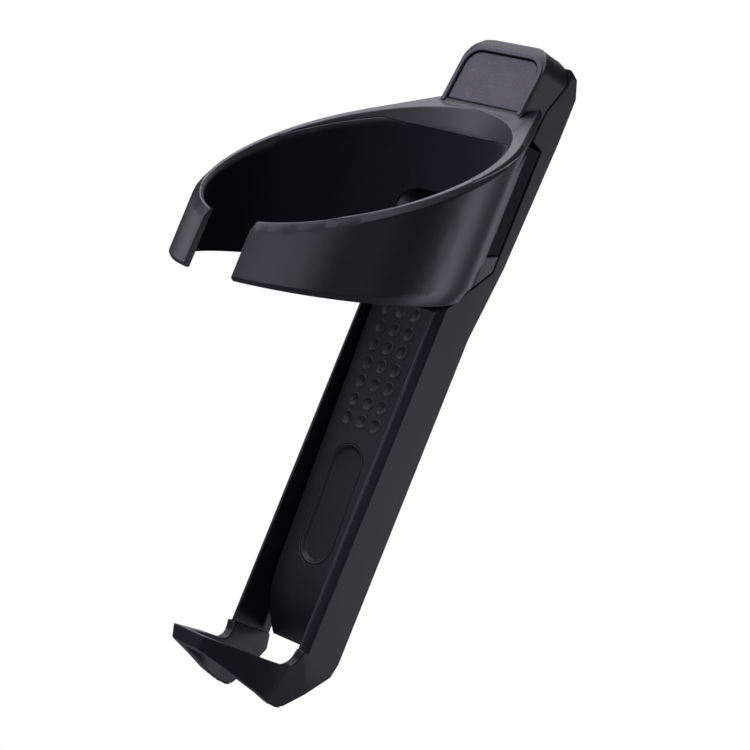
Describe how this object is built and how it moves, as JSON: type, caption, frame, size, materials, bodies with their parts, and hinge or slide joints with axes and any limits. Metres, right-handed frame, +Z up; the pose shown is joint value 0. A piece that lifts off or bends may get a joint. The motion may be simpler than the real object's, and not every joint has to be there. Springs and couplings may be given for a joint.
{
  "type": "water bottle cage",
  "caption": "Moulded plastic bottle cage with an open sloping collar, a channel spine and a hooked foot, made to bolt to a bicycle tube.",
  "frame": {"origin": "midway between the two frame-bolt slots, on the rear face of the back wall, which meets the bicycle tube", "axes": "+Y towards the bicycle tube, -Y towards the bottle, +Z up along the spine, +X to the right seen from the bottle"},
  "size_m": [0.0684, 0.0811, 0.1722],
  "materials": {
    "moulded_body": "satin moulded, fine texture",
    "moulded_collar": "satin moulded, fine texture",
    "moulded_cover": "satin moulded",
    "badge_plate": "fine grained grey",
    "strip_inlay": "matt, dimpled",
    "plug": "matt",
    "screw_steel": "black oxide"
  },
  "bodies": {
    "root": {"spine": "moulded_body", "collar": "moulded_collar", "head_cover": "moulded_cover", "head_badge": "badge_plate", "dimpled_strip": "strip_inlay", "slot_cover": "plug", "assembly_screws": "screw_steel"}
  },
  "joints": []
}
